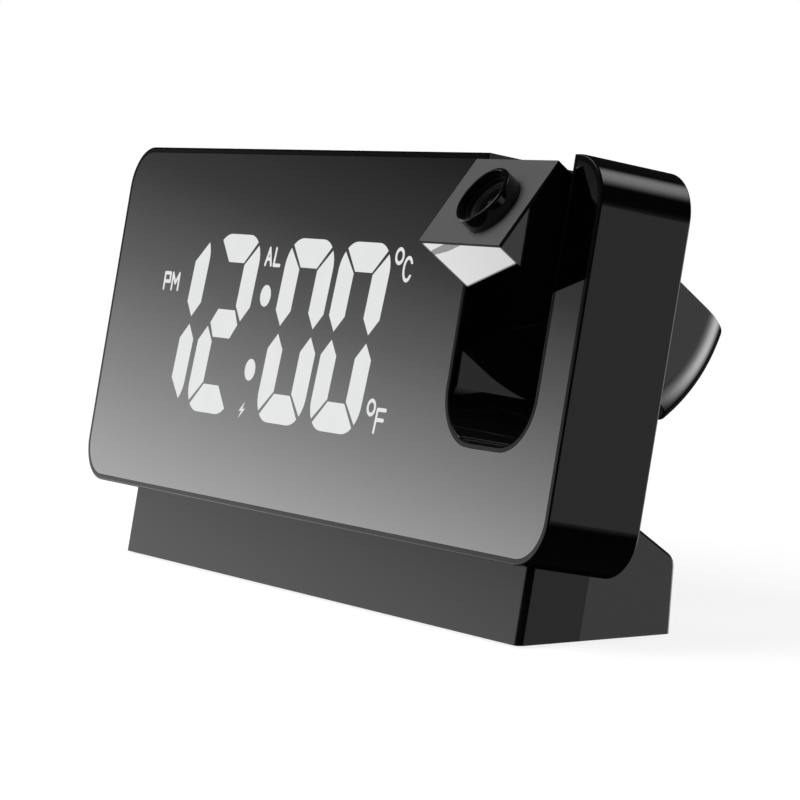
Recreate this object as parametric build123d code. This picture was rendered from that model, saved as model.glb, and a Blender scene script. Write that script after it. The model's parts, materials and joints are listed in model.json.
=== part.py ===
"""Desk clock: a leaning slab case with a mirror front and a lit seven-bar display,
a low two-piece base, and a time projector in an arm that turns in a notch of the case.

Units are millimetres and degrees. Pieces are drawn in three places that share one frame:
the base in the desk's axes, the case upright with Y running back from its front face, and
the arm upright about its pivot; the case is then leaned back and the arm turned forward.
"""
import os
from math import cos, radians, sin, tan

from build123d import *

# Case
case_width = 190.0
case_height = 74.0
case_depth = 19.6
case_corner = 9.0
case_wall = 2.8
case_lean = 10.6
case_lift = 15.4
case_overhang = 4.0
rim = 1.1
case_edge_round = 0.4
edge_round = 0.5
seat_gap = 0.1
panel_thickness = 2.0
cover_thickness = 2.0

# Notch for the arm, open at the top of the case
notch_width = 29.45
notch_floor = 20.5
notch_corner = 9.6
prong_width = 10.95

# Display
digit_height = 37.8
digit_width = 20.1
bar_thickness = 5.95
stem_width = 6.3
digit_corner = 6.0
mitre_gap = 0.4
mitre_angle = 4.5
slant = 5.2
inner_digit_step = 15.7
digit_pitch = 22.4
display_shift = -3.6
dot_radius = 2.25
dot_step = 7.7
dot_drop = 1.1
inlay_depth = 0.5

# Small marks of the display, placed from the digit or colon beside them
mark_stroke = 0.75
letter_height = 3.4
letter_width = 2.5
wide_letter_width = 3.0
letter_step = 3.7
unit_height = 4.4
unit_width = 3.0
c_mouth = (2.2, 2.1)
degree_radius = 1.75
degree_rise = 2.4
degree_step = 2.2
pm_offset = (-8.3, 6.2)
al_offset = (-1.8, 13.0)
celsius_offset = (14.2, 14.2)
fahrenheit_offset = (12.8, -15.3)
bolt_drop = 17.2
bolt_height = 3.6

# Display stack behind the front sheet
film_thickness = 0.3
board_thickness = 1.6
rear_space = 7.3
board_rise = 1.2
cell_wall = 1.5
lug_gap = 0.3
lug_width = 7.0
lug_height = 6.0
led_size = (2.0, 0.8, 1.25)

# Pieces on the back of the board
component_level = 27.0
crystal_step = 15.0
thermistor_inset = 4.0
buzzer_inset = 14.0
socket_from_end = 16.0
chip_size = (10.0, 1.2, 10.0)
crystal_size = (8.0, 3.0, 3.0)
thermistor_size = (2.0, 1.2, 1.2)
buzzer_radius = 6.0
buzzer_height = 5.5
buzzer_mouth = 1.2
grille_hole_radius = 0.9
grille_ring_radius = 3.4
switch_width = 6.0
switch_body = 3.5
switch_plunger = 1.5
plunger_radius = 1.75
socket_width = 9.0
socket_height = 3.4
socket_end_flat = 0.15
socket_wall = 0.35
socket_tongue = (6.6, 0.7)
socket_tongue_length = 6.2
socket_inset = 0.4

# Push buttons in the rear cover and the bar in the top
button_width = 10.0
button_height = 5.0
button_corner = 2.25
button_proud = 1.0
button_pitch = 17.0
button_level = 47.0
button_lip = 1.0
lip_thickness = 1.0
stem_radius = 1.6
button_travel = 0.4
running_gap = 0.3
lip_gap = 0.1
press_gap = 0.15
bar_length = 60.0
bar_width = 7.0
bar_corner = 2.3
bar_travel = 0.5

# Screws
screw_radius = 1.0
screw_head_radius = 1.9
screw_head_height = 1.2
screw_slot = 0.5
screw_slot_length = 2.7
screw_length = 6.0
screw_fit = 0.05
head_sink = 0.1
boss_radius = 2.6
boss_sink = 0.5

# Base
base_width = 162.6
base_depth = 32.9
base_wall = 2.2
base_edge_round = 1.5
prop_height = 14.3
prop_slope = 36.4
prop_corner = 3.0
prop_edge_round = 0.6
rear_draft = 4.6
end_tolerance = 0.01
plate_thickness = 2.0
plate_gap = 0.2
foot_radius = 4.0
foot_depth = 1.0
foot_proud = 0.5
foot_inset = 9.0
battery_size = (50.0, 10.0, 6.5)
plate_screw_inset = 22.0
neck_screw_step = 28.0
prop_screw_step = 62.0
prop_screw_level = 7.5

# Projector arm
arm_gap = 0.75
arm_flush = 0.1
arm_reach = 19.7
arm_wall = 1.6
arm_turn = 60.8
tail_gap = 0.3
tail_corner = 9.0
arm_rim = 0.4
arm_mirror_thickness = 1.2
cap_thickness = 0.7
pin_radius = 3.0
pin_bore = 1.6
pin_clearance = 0.05
flange_radius = 4.4
flange_thickness = 1.2
clip_thickness = 0.7
clip_radius = 4.6
clip_groove = 0.5
washer_radius = 5.5

# Lens and optics, on one axis beside the arm's middle
ring_radius = 6.2
ring_height = 3.6
ring_wall = 0.7
ring_round = 0.45
ring_inner_round = 0.15
sleeve_wall = 0.6
sleeve_rise = 2.0
sleeve_depth = 7.0
carrier_wall = 0.9
carrier_length = 7.0
carrier_rise = 1.2
focus_travel = 0.8
lens_edge = 1.2
lens_bulge = 0.7
lens_seat = 0.5
sleeve_side_gap = 0.3
tube_half_width = 6.5
tube_side_gap = 1.1
tube_bore = 4.2
tube_bottom = -16.0
lcd_thickness = 1.4
condenser_radius = 4.6
condenser_edge = 0.8
condenser_bulge = 1.6
condenser_level = -6.0
projector_board_thickness = 1.2
projector_led_size = (3.2, 3.2, 2.0)
arm_boss_left = 8.0
arm_boss_rise = 9.0
tail_boss_inset = 7.5

# Places worked out from the sizes
notch_right = case_width / 2 - prong_width
notch_left = notch_right - notch_width
notch_centre = (notch_left + notch_right) / 2
digit_level = case_height / 2
display_mid = (notch_left - case_width / 2) / 2
colon_x = display_mid + display_shift
film_front = panel_thickness
box_front = film_front + film_thickness
cover_front = case_depth - cover_thickness
board_rear = cover_front - rear_space
board_front = board_rear - board_thickness
board_low = case_wall + board_rise
snooze_lip_top = case_height - case_wall - lip_gap
snooze_tip = snooze_lip_top - lip_thickness - 2 * press_gap - bar_travel
board_top = snooze_tip - switch_plunger
pivot_depth = case_depth / 2
pivot_height = case_height - arm_reach - arm_flush
arm_width = notch_width - 2 * arm_gap
arm_depth = case_depth - 2 * arm_flush
tail_radius = pivot_height - notch_floor - tail_gap
inner_tip = switch_body + switch_plunger
boss_inset = case_wall + boss_radius - boss_sink
clip_start = notch_width / 2 + case_wall + running_gap
pin_end = clip_start + 2 * clip_thickness

case_place = Pos(0, -case_overhang, case_lift) * Rot(X=-case_lean)
arm_place = case_place * Pos(notch_centre, pivot_depth, pivot_height) * Rot(X=arm_turn)
to_rear = Rot(X=-90)
pieces = {}


def through(outline, front, depth):
    """Solid of a front-view outline (x, z), from y = front back through the depth."""
    return extrude(Plane.XZ.offset(-front) * outline, amount=depth, dir=(0, 1, 0))


def block(x, y, z):
    """Box between the low and high values given for each axis."""
    size = [high - low for low, high in (x, y, z)]
    middle = [(high + low) / 2 for low, high in (x, y, z)]
    return Pos(*middle) * Box(*size)


def rod(radius, start, end):
    """Round bar along Z between two heights."""
    return Pos(0, 0, (start + end) / 2) * Cylinder(radius, end - start)


def tube(outer, inner, start, end):
    """Round tube along Z between two heights."""
    return rod(outer, start, end) - rod(inner, start, end)


def group(solids):
    """Separate solids of one kind, kept together as one piece."""
    return Compound([part for solid in solids for part in solid.solids()])


def screw(length):
    """Pan-head screw along -Z with its head standing on Z = 0."""
    slot = Box(screw_slot_length, screw_slot, screw_slot) + Box(screw_slot, screw_slot_length, screw_slot)
    body = rod(screw_head_radius, 0, screw_head_height) + rod(screw_radius, -length, 0)
    return body - Pos(0, 0, screw_head_height - screw_slot / 2) * slot


def screw_hole(length):
    """Clearance for a screw and its head, the head's hole running well outwards."""
    head = rod(screw_head_radius + seat_gap, 0, screw_head_height + head_sink)
    return head + rod(screw_radius + screw_fit, -length, 0)


# Outlines in the front view
def notch_outline(grow):
    """The notch's U grown on every side, running out past the top of the case."""
    floor = notch_floor - grow
    top = case_height + 2 * (notch_corner + grow)
    corner = notch_corner + grow
    slot = RectangleRounded(notch_width + 2 * grow, top - floor, corner)
    return Pos(notch_centre, (floor + top) / 2) * slot


def case_outline(inset=0.0):
    """Front view of the case with its notch, drawn in by the inset."""
    slab = RectangleRounded(case_width - 2 * inset, case_height - 2 * inset, case_corner - inset)
    return Pos(0, case_height / 2) * slab - notch_outline(inset)


# Display figures
half_width = digit_width / 2
half_height = digit_height / 2
digit_centres = (
    colon_x - inner_digit_step - digit_pitch,
    colon_x - inner_digit_step,
    colon_x + inner_digit_step,
    colon_x + inner_digit_step + digit_pitch,
)
digit_bars = ("abcdeg", "abcdefg", "abcdefg", "abcdefg")
lit_bars = ("bc", "abdeg", "abcdef", "abcdef")


def slanted(x, z):
    """Point of the display's slanted grid, z counted from the middle of the digits."""
    return x + z * tan(radians(slant)), digit_level + z


def corner_point(angle):
    """Point of a digit's rounded upper right corner."""
    x = half_width - digit_corner + digit_corner * cos(radians(angle))
    return x, half_height - digit_corner + digit_corner * sin(radians(angle))


def figure(centre, points, side=1, end=1):
    """Face through slanted points; a triple inside the list is a three-point arc."""

    def place(point):
        return slanted(centre + side * point[0], end * point[1])

    edges = []
    last = None
    first = None
    for item in points:
        arc = [place(p) for p in item] if isinstance(item[0], tuple) else [place(item)]
        if last is not None:
            edges.append(Line(last, arc[0]))
        if len(arc) == 3:
            edges.append(ThreePointArc(*arc))
        first = first or arc[0]
        last = arc[-1]
    edges.append(Line(last, first))
    return make_face(Curve() + edges)


def end_bar(centre, end):
    """Top or bottom bar of a digit."""
    start = 45 + mitre_angle
    right = [corner_point(angle) for angle in (start, (start + 90) / 2, 90)]
    left = [(-x, z) for x, z in reversed(right)]
    inner_x = half_width - stem_width - mitre_gap
    inner_z = half_height - bar_thickness
    return figure(centre, [tuple(right), tuple(left), (-inner_x, inner_z), (inner_x, inner_z)], 1, end)


def side_bar(centre, side, end):
    """One of a digit's four upright bars."""
    tip_z = 2 * mitre_gap
    shoulder = tip_z + stem_width / 2
    end_angle = 45 - mitre_angle
    outer = tuple(corner_point(angle) for angle in (0, end_angle / 2, end_angle))
    inner_x = half_width - stem_width
    inner_top = (inner_x, half_height - bar_thickness - mitre_gap)
    tip = (half_width - stem_width / 2, tip_z)
    return figure(centre, [outer, inner_top, (inner_x, shoulder), tip, (half_width, shoulder)], side, end)


def middle_bar(centre):
    """Middle bar of a digit."""
    tip = half_width - stem_width / 2 - 2 * mitre_gap
    shoulder = half_width - stem_width
    half = bar_thickness / 2
    points = [(tip, 0), (shoulder, half), (-shoulder, half), (-tip, 0), (-shoulder, -half), (shoulder, -half)]
    return figure(centre, points)


def digit_bar(centre, letter):
    """One of the seven bars, by its usual letter."""
    if letter == "g":
        return middle_bar(centre)
    if letter in "ad":
        return end_bar(centre, 1 if letter == "a" else -1)
    return side_bar(centre, 1 if letter in "bc" else -1, 1 if letter in "bf" else -1)


def colon_dots():
    """The two round dots of the colon, on the slanted grid."""
    places = [slanted(colon_x, -dot_drop + step) for step in (dot_step, -dot_step)]
    return [Pos(*place) * Circle(dot_radius) for place in places]


def stroke(start, end):
    """Straight bar of a mark between the middles of its two ends."""
    return make_face(offset(Line(start, end), mark_stroke / 2).edges())


letter_runs = {
    "P": (((0, 0), (0, 1), (1, 1), (1, 0.47), (0, 0.47)),),
    "M": (((0, 0), (0, 1), (0.5, 0.4), (1, 1), (1, 0)),),
    "A": (((0, 0), (0.5, 1), (1, 0)), ((0.2, 0.35), (0.8, 0.35))),
    "L": (((0, 1), (0, 0), (1, 0)),),
    "F": (((0, 0), (0, 1), (1, 1)), ((0, 0.55), (0.9, 0.55))),
}
bolt_points = ((0.25, 0.5), (-0.36, -0.08), (-0.03, -0.03), (-0.31, -0.5), (0.39, 0.11), (0.06, 0.06))


def letter(name, x, z, width, height, lean=0.0):
    """Letter of straight bars with its lower left at (x, z)."""

    def place(point):
        rise = point[1] * height
        return x + point[0] * width + rise * tan(radians(lean)), z + rise

    mark = Sketch()
    for run in letter_runs[name]:
        for start, end in zip(run, run[1:]):
            mark += stroke(place(start), place(end))
    return mark


def degree(x, z):
    """Small ring of a degree sign, for a letter whose middle is at z."""
    return Pos(x, z + degree_rise) * (Circle(degree_radius) - Circle(degree_radius - mark_stroke))


def letter_c(x, z):
    """Letter C with its left at x and its middle at z: an oval ring open on its right."""
    half = (unit_width + mark_stroke) / 2
    height = (unit_height + mark_stroke) / 2
    ring = Ellipse(half, height) - Ellipse(half - mark_stroke, height - mark_stroke)
    mouth = Pos(half, 0) * Rectangle(*c_mouth)
    return Pos(x + unit_width / 2, z) * (ring - mouth)


def display_marks():
    """The small lit marks round the digits: PM, AL, the two degree signs and the charging bolt."""
    pm_x = digit_centres[0] + pm_offset[0]
    pm_z = digit_level + pm_offset[1]
    al_x = colon_x + al_offset[0]
    al_z = digit_level + al_offset[1]
    celsius_x = digit_centres[3] + celsius_offset[0]
    celsius_z = digit_level + celsius_offset[1]
    fahrenheit_x = digit_centres[3] + fahrenheit_offset[0]
    fahrenheit_z = digit_level + fahrenheit_offset[1]
    foot_z = fahrenheit_z - unit_height / 2
    bolt = [(x * bolt_height, z * bolt_height) for x, z in bolt_points]
    return [
        letter("P", pm_x, pm_z, letter_width, letter_height),
        letter("M", pm_x + letter_step, pm_z, wide_letter_width, letter_height),
        letter("A", al_x, al_z, letter_width, letter_height),
        letter("L", al_x + letter_step, al_z, letter_width, letter_height, slant),
        degree(celsius_x, celsius_z),
        letter_c(celsius_x + degree_step, celsius_z),
        degree(fahrenheit_x, fahrenheit_z),
        letter("F", fahrenheit_x + degree_step, foot_z, unit_width, unit_height, slant),
        Pos(*slanted(colon_x, -bolt_drop)) * make_face(Polyline(*bolt, close=True)),
    ]


all_cells = [digit_bar(c, letter) for c, letters in zip(digit_centres, digit_bars) for letter in letters]
lit_cells = [digit_bar(c, letter) for c, letters in zip(digit_centres, lit_bars) for letter in letters]
dots = colon_dots()
marks = display_marks()

# Front sheet with the lit figures inlaid flush in it
lit_figures = [through(face, 0, inlay_depth) for face in lit_cells + dots]
mark_figures = [through(face, 0, inlay_depth) for face in marks]
panel = through(case_outline(rim + seat_gap), 0, panel_thickness)
pieces["mirror_panel"] = case_place * panel.cut(*lit_figures, *mark_figures)
pieces["lit_segments"] = case_place * group(lit_figures)
pieces["lit_marks"] = case_place * group(mark_figures)

# Light box, film and board behind the front sheet
mark_windows = []
for face in marks:
    spot = face.bounding_box()
    window = Pos(*spot.center()) * Rectangle(spot.size.X, spot.size.Y)
    mark_windows.append(window)
cells = all_cells + dots + mark_windows
cell_boxes = [face.bounding_box() for face in cells]
box_x = (min(b.min.X for b in cell_boxes) - cell_wall, max(b.max.X for b in cell_boxes) + cell_wall)
box_z = (min(b.min.Y for b in cell_boxes) - cell_wall, max(b.max.Y for b in cell_boxes) + cell_wall)
board_left = box_x[0] - lug_gap - lug_width
board_right = box_x[1] + lug_gap + lug_width
pieces["diffuser_film"] = case_place * block(box_x, (film_front, box_front), box_z)
light_box = block(box_x, (box_front, board_front), box_z)
cell_cuts = [through(face, box_front, board_front - box_front) for face in cells]
pieces["light_box"] = case_place * light_box.cut(*cell_cuts)

leds = []
for face in cells:
    spot = face.center()
    leds.append(Pos(spot.X, board_front - led_size[1] / 2, spot.Y) * Box(*led_size))
pieces["segment_leds"] = case_place * group(leds)

lug_x = (board_left + lug_width / 2, board_right - lug_width / 2)
lug_z = (board_low + lug_height / 2, board_top - lug_height / 2)
lug_places = [(x, z) for x in lug_x for z in lug_z]
board = block((board_left, board_right), (board_front, board_rear), (board_low, board_top))
for x, z in lug_places:
    board -= Pos(x, board_rear, z) * to_rear * screw_hole(board_thickness)
pieces["display_board"] = case_place * board
pieces["board_screws"] = case_place * group(
    Pos(x, board_rear, z) * to_rear * screw(screw_length) for x, z in lug_places
)


def on_board(size, x, z):
    """Block standing on the back of the board."""
    return Pos(x, board_rear + size[1] / 2, z) * Box(*size)


pieces["controller_chip"] = case_place * on_board(chip_size, colon_x, component_level)
pieces["clock_crystal"] = case_place * on_board(crystal_size, colon_x + crystal_step, component_level)
pieces["thermistor"] = case_place * on_board(thermistor_size, board_right - thermistor_inset, component_level)
buzzer_x = board_left + buzzer_inset
buzzer = rod(buzzer_radius, 0, buzzer_height) - rod(buzzer_mouth, buzzer_height / 2, buzzer_height)
pieces["buzzer"] = case_place * Pos(buzzer_x, board_rear, component_level) * to_rear * buzzer

button_places = [colon_x + (i - 2) * button_pitch for i in range(5)]


def tact_switch():
    """Switch standing on Z = 0 with its plunger up."""
    body = Pos(0, 0, switch_body / 2) * Box(switch_width, switch_width, switch_body)
    return body + rod(plunger_radius, switch_body, inner_tip)


pieces["key_switches"] = case_place * group(
    Pos(x, board_rear, button_level) * to_rear * tact_switch() for x in button_places
)

# Top bar and its switch, which stands on the back of the board at its upper edge
bar_x = colon_x + button_pitch / 2
bar_y = board_rear + switch_body / 2
snooze_switch = block(
    (bar_x - switch_width / 2, bar_x + switch_width / 2),
    (board_rear, board_rear + switch_body),
    (board_top - switch_width, board_top),
)
snooze_switch += Pos(bar_x, bar_y, 0) * rod(plunger_radius, board_top, snooze_tip)
pieces["snooze_switch"] = case_place * snooze_switch


def bar_outline(grow):
    """Top bar in plan, grown on every side."""
    shape = RectangleRounded(bar_length + 2 * grow, bar_width + 2 * grow, bar_corner)
    return Pos(bar_x, bar_y) * shape


bar = extrude(Pos(0, 0, snooze_lip_top) * bar_outline(0), amount=case_height - snooze_lip_top)
bar += extrude(Pos(0, 0, snooze_lip_top - lip_thickness) * bar_outline(button_lip), amount=lip_thickness)
bar += Pos(bar_x, bar_y, 0) * rod(stem_radius, snooze_tip + bar_travel + press_gap, snooze_lip_top)
pieces["snooze_bar"] = case_place * bar

# Five buttons through the rear cover
button_names = ("mode_button", "alarm_button", "up_button", "down_button", "projector_button")


def button_outline(grow):
    """Rear button seen from behind, grown on every side."""
    return RectangleRounded(button_width + 2 * grow, button_height + 2 * grow, button_corner)


def rear_button(x):
    """Button with a lip behind the cover and a short stem over its switch."""
    lip_rear = cover_front - lip_gap
    lip_front = lip_rear - lip_thickness
    cap = through(button_outline(0), lip_rear, case_depth + button_proud - lip_rear)
    top = cap.faces().sort_by(Axis.Y)[-1]
    cap = fillet(top.edges(), edge_round)
    lip = through(button_outline(button_lip), lip_front, lip_thickness)
    stem = to_rear * rod(stem_radius, board_rear + inner_tip + button_travel + press_gap, lip_rear)
    return Pos(x, 0, button_level) * (cap + lip + stem)


for name, x in zip(button_names, button_places):
    pieces[name] = case_place * rear_button(x)

# Power socket on the board, its mouth in the rear cover
socket_x = board_right - socket_from_end
socket_rear = case_depth - socket_inset


def socket_outline(grow):
    """Flat oval of the power socket, grown on every side."""
    height = socket_height + 2 * grow
    oval = RectangleRounded(socket_width + 2 * grow, height, (height - socket_end_flat) / 2)
    return Pos(socket_x, component_level) * oval


socket = through(socket_outline(0), board_rear, socket_rear - board_rear)
socket -= through(socket_outline(-socket_wall), board_rear + board_thickness, socket_rear)
tongue = Pos(socket_x, component_level) * Rectangle(*socket_tongue)
socket += through(tongue, board_rear, socket_tongue_length)
pieces["power_socket"] = case_place * socket

# Case shell with its seats, bosses and pivot bores
shell = through(case_outline(), 0, case_depth)
shell = fillet(shell.faces().sort_by(Axis.Y)[0].outer_wire().edges(), case_edge_round)
shell = fillet(shell.faces().sort_by(Axis.Y)[-1].outer_wire().edges(), case_edge_round)
shell -= through(case_outline(rim), 0, panel_thickness)
shell -= through(case_outline(case_wall), panel_thickness, case_depth)
shell -= through(case_outline(rim), cover_front, cover_thickness)
case_screw_places = (
    (boss_inset - case_width / 2, boss_inset),
    (boss_inset - case_width / 2, case_height - boss_inset),
    (notch_left - boss_inset, case_height - boss_inset),
    (case_width / 2 - boss_inset, boss_inset),
)
bosses = Sketch() + [Pos(x, z) * Circle(boss_radius) for x, z in case_screw_places]
boss_bars = through(bosses, panel_thickness, cover_front - panel_thickness)
shell += boss_bars & through(case_outline(), 0, case_depth)
lug_low = (case_wall - seat_gap, board_low + lug_height)
lug_high = (board_top - lug_height, case_height - case_wall + seat_gap)
for x in lug_x:
    for z_range in (lug_low, lug_high):
        shell += block((x - lug_width / 2, x + lug_width / 2), (panel_thickness, board_front), z_range)
for x, z in lug_places:
    shell -= Pos(x, board_rear, z) * to_rear * rod(screw_radius + screw_fit, -screw_length, 0)
for x, z in case_screw_places:
    shell -= Pos(x, cover_front, z) * to_rear * rod(screw_radius + screw_fit, -screw_length, 0)
bore = Rot(Y=90) * rod(pin_radius + pin_clearance, -pin_end, pin_end)
shell -= Pos(notch_centre, pivot_depth, pivot_height) * bore
shell -= extrude(Pos(0, 0, case_height - 2 * case_wall) * bar_outline(running_gap), amount=3 * case_wall)

# Neck screws come up from the base into bosses on the floor of the case
neck_y = (board_rear + cover_front) / 2
neck_places = (-neck_screw_step, 0.0, neck_screw_step)
neck_head = -base_wall
for x in neck_places:
    neck_boss = rod(boss_radius, case_wall - seat_gap, screw_length + neck_head + case_wall)
    shell += Pos(x, neck_y, 0) * neck_boss
    shell -= Pos(x, neck_y, 0) * rod(screw_radius + screw_fit, neck_head, neck_head + screw_length)
pieces["front_shell"] = case_place * shell
neck_screw = Pos(0, 0, neck_head) * Rot(X=180) * screw(screw_length)
pieces["neck_screws"] = case_place * group(Pos(x, neck_y, 0) * neck_screw for x in neck_places)

# Rear cover with its holes
cover = through(case_outline(rim + seat_gap), cover_front, cover_thickness)
prop_places = (-prop_screw_step, prop_screw_step)
prop_boss_front = case_depth + base_wall - screw_length
for x in prop_places:
    cover += Pos(x, 0, prop_screw_level) * to_rear * rod(boss_radius, prop_boss_front, cover_front)
    prop_hole = rod(screw_radius + screw_fit, prop_boss_front, case_depth)
    cover -= Pos(x, 0, prop_screw_level) * to_rear * prop_hole
cover_seat = case_depth - screw_head_height - head_sink
for x, z in case_screw_places:
    cover -= Pos(x, cover_seat, z) * to_rear * screw_hole(cover_thickness)
for x in button_places:
    cover -= Pos(x, 0, button_level) * through(button_outline(running_gap), cover_front, cover_thickness)
cover -= through(socket_outline(running_gap), cover_front, cover_thickness)
grille = [(0, 0)] + [(grille_ring_radius * cos(radians(a)), grille_ring_radius * sin(radians(a)))
                     for a in range(0, 360, 60)]
holes = Sketch() + [Pos(buzzer_x + x, component_level + z) * Circle(grille_hole_radius) for x, z in grille]
cover -= through(holes, cover_front, cover_thickness)
pieces["rear_cover"] = case_place * cover
pieces["case_screws"] = case_place * group(
    Pos(x, cover_seat, z) * to_rear * screw(screw_length) for x, z in case_screw_places
)


# Base, drawn in the desk's axes on its side view (y, z)
def case_point(y, z):
    """Side-view point of the leaned case in the desk's axes."""
    spot = case_place * Pos(0, y, z)
    return spot.position.Y, spot.position.Z


def down_the_back(z):
    """Point at a height on the line of the case's back, run on downwards."""
    low_y, low_z = case_point(case_depth, 0)
    return low_y - (low_z - z) * tan(radians(case_lean)), z


def front_line(z):
    """Point at a height on the base's front, which leans with the case."""
    return z * tan(radians(case_lean)), z


def rear_line(z):
    """Point at a height on the base's rear face."""
    return base_depth + z * tan(radians(rear_draft)), z


def prop_line_corner():
    """Where the sloping prop meets the base's rear face."""
    top_y, top_z = case_point(case_depth, prop_height)
    fall = tan(radians(prop_slope))
    z = (top_z - fall * (base_depth - top_y)) / (1 + fall * tan(radians(rear_draft)))
    return rear_line(z)


def front_profile(bottom):
    """Side view of the base's front piece, its underside at the given height."""
    front_y = case_point(0, 0)
    under = sin(radians(case_lean)) * front_y[1] - cos(radians(case_lean)) * front_y[0]
    return make_face(Polyline(
        front_line(bottom), down_the_back(bottom), case_point(case_depth, 0), case_point(under, 0),
        close=True,
    ))


def rear_profile(bottom):
    """Side view of the base's rear piece, its underside at the given height."""
    face = make_face(Polyline(
        down_the_back(bottom), rear_line(bottom), prop_line_corner(), case_point(case_depth, prop_height),
        close=True,
    ))
    corner = face.vertices().sort_by_distance((*prop_line_corner(), 0))[0]
    return fillet(corner, prop_corner)


def across(profile, half):
    """Solid of a side-view profile between two ends."""
    return extrude(Plane.YZ.offset(-half) * profile, amount=2 * half, dir=(1, 0, 0))


def hollow_base(profile):
    """Outside of a base piece, and the room inside it, which is open underneath."""
    solid = across(profile(0), base_width / 2)
    room = offset(profile(-2 * base_wall), -base_wall, kind=Kind.INTERSECTION)
    return solid, across(room, base_width / 2 - base_wall)


plate_front = base_wall / cos(radians(case_lean)) + front_line(plate_thickness)[0] + plate_gap
plate_rear = base_depth - base_wall - plate_gap
plate_half = base_width / 2 - base_wall - plate_gap
plate_room = block(
    (-plate_half - plate_gap, plate_half + plate_gap),
    (plate_front - plate_gap, plate_rear + plate_gap),
    (0, plate_thickness),
)
split_y = down_the_back(plate_thickness)[0]
plate_screw_x = (plate_screw_inset - base_width / 2, base_width / 2 - plate_screw_inset)
front_boss_y = (plate_front + split_y - base_wall) / 2
rear_boss_y = plate_rear - boss_radius - base_wall
plate_screw_seat = screw_head_height + head_sink
screw_up = Rot(X=180)


def base_bosses(solid, y):
    """Bosses that take the plate's screws, kept inside the piece's outside."""
    boss = rod(boss_radius, plate_thickness, case_lift + prop_height)
    return group(Pos(x, y, 0) * boss for x in plate_screw_x) & solid


def pilot_holes(y):
    """Holes for the plate's screws."""
    return [
        Pos(x, y, plate_screw_seat) * rod(screw_radius + screw_fit, 0, screw_length) for x in plate_screw_x
    ]


front_solid, front_hollow = hollow_base(front_profile)
front_edges = front_solid.edges().filter_by(lambda e: abs(e.center().X) > base_width / 2 - end_tolerance)
front_edges = front_edges.sort_by(Axis.Y)[0:2]
front_solid = fillet(front_edges, base_edge_round)
base_front = front_solid - front_hollow - plate_room
base_front += base_bosses(front_solid, front_boss_y).solids()
base_front = base_front.cut(*pilot_holes(front_boss_y))
neck_hole = rod(screw_radius + screw_fit, neck_head - seat_gap, seat_gap)
for x in neck_places:
    base_front -= case_place * Pos(x, neck_y, 0) * neck_hole
pieces["base_front"] = base_front

rear_solid, rear_hollow = hollow_base(rear_profile)
low_end = rear_solid.bounding_box().min.Z + prop_edge_round
rear_edges = rear_solid.edges().filter_by(lambda e: abs(e.center().X) > base_width / 2 - end_tolerance)
rear_edges = rear_edges.filter_by(lambda e: e.center().Z > low_end).sort_by(Axis.Y)[2:]
rear_solid = fillet(rear_edges, prop_edge_round)
base_rear = rear_solid - rear_hollow - plate_room
base_rear += base_bosses(rear_solid, rear_boss_y).solids()
base_rear = base_rear.cut(*pilot_holes(rear_boss_y))
prop_seat = case_depth + base_wall
for x in prop_places:
    prop_hole = rod(screw_radius + screw_fit, case_depth - seat_gap, prop_seat + seat_gap)
    base_rear -= case_place * Pos(x, 0, prop_screw_level) * to_rear * prop_hole
pieces["base_rear"] = base_rear
pieces["prop_screws"] = case_place * group(
    Pos(x, prop_seat, prop_screw_level) * to_rear * screw(screw_length) for x in prop_places
)

plate = block((-plate_half, plate_half), (plate_front, plate_rear), (0, plate_thickness))
plate_screw_places = [(x, y) for x in plate_screw_x for y in (front_boss_y, rear_boss_y)]
for x, y in plate_screw_places:
    plate -= Pos(x, y, plate_screw_seat) * screw_up * screw_hole(plate_thickness)
foot_places = [
    (x, y)
    for x in (foot_inset - base_width / 2, base_width / 2 - foot_inset)
    for y in (plate_front + foot_radius + seat_gap, plate_rear - foot_radius - seat_gap)
]
for x, y in foot_places:
    plate -= Pos(x, y, 0) * rod(foot_radius, 0, foot_depth)
pieces["base_plate"] = plate
pieces["plate_screws"] = group(
    Pos(x, y, plate_screw_seat) * screw_up * screw(screw_length) for x, y in plate_screw_places
)
foot = rod(foot_radius, -foot_proud, foot_depth)
pieces["rubber_feet"] = group(Pos(x, y, 0) * foot for x, y in foot_places)
battery_front = down_the_back(plate_thickness)[0] + base_wall + running_gap + foot_depth
battery = block(
    (-battery_size[0] / 2, battery_size[0] / 2),
    (battery_front, battery_front + battery_size[1]),
    (plate_thickness, plate_thickness + battery_size[2]),
)
pieces["battery_pack"] = fillet(battery.edges().filter_by(Axis.X), edge_round)


# Projector arm, drawn upright about its pivot
def arm_block(half_x, front, rear, tail, corner, top):
    """Arm with a tail rounded about the pivot, between a front and a rear face."""
    profile = Pos(0, -tail / 2) * Rectangle(2 * half_x, tail)
    low = profile.vertices().sort_by(Axis.Y)[0:2]
    barrel = revolve(Plane.XZ * fillet(low, corner), Axis.X)
    slab = block((-half_x, half_x), (front, rear), (-tail, 0))
    return (barrel & slab) + block((-half_x, half_x), (front, rear), (0, top))


arm_half = arm_width / 2
face_half = arm_depth / 2
cap_under = arm_reach - cap_thickness
inner_half = arm_half - arm_wall
inner_front = -face_half + arm_mirror_thickness + arm_wall
inner_rear = face_half - arm_wall
arm_outer = arm_block(arm_half, -face_half, face_half, tail_radius, tail_corner, cap_under)
arm_room = arm_block(
    inner_half, inner_front, inner_rear, tail_radius - arm_wall, tail_corner - arm_wall, cap_under
)
arm_shell = arm_outer - arm_room

mirror_end = (tail_radius**2 - face_half**2) ** 0.5 - arm_rim


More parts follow.
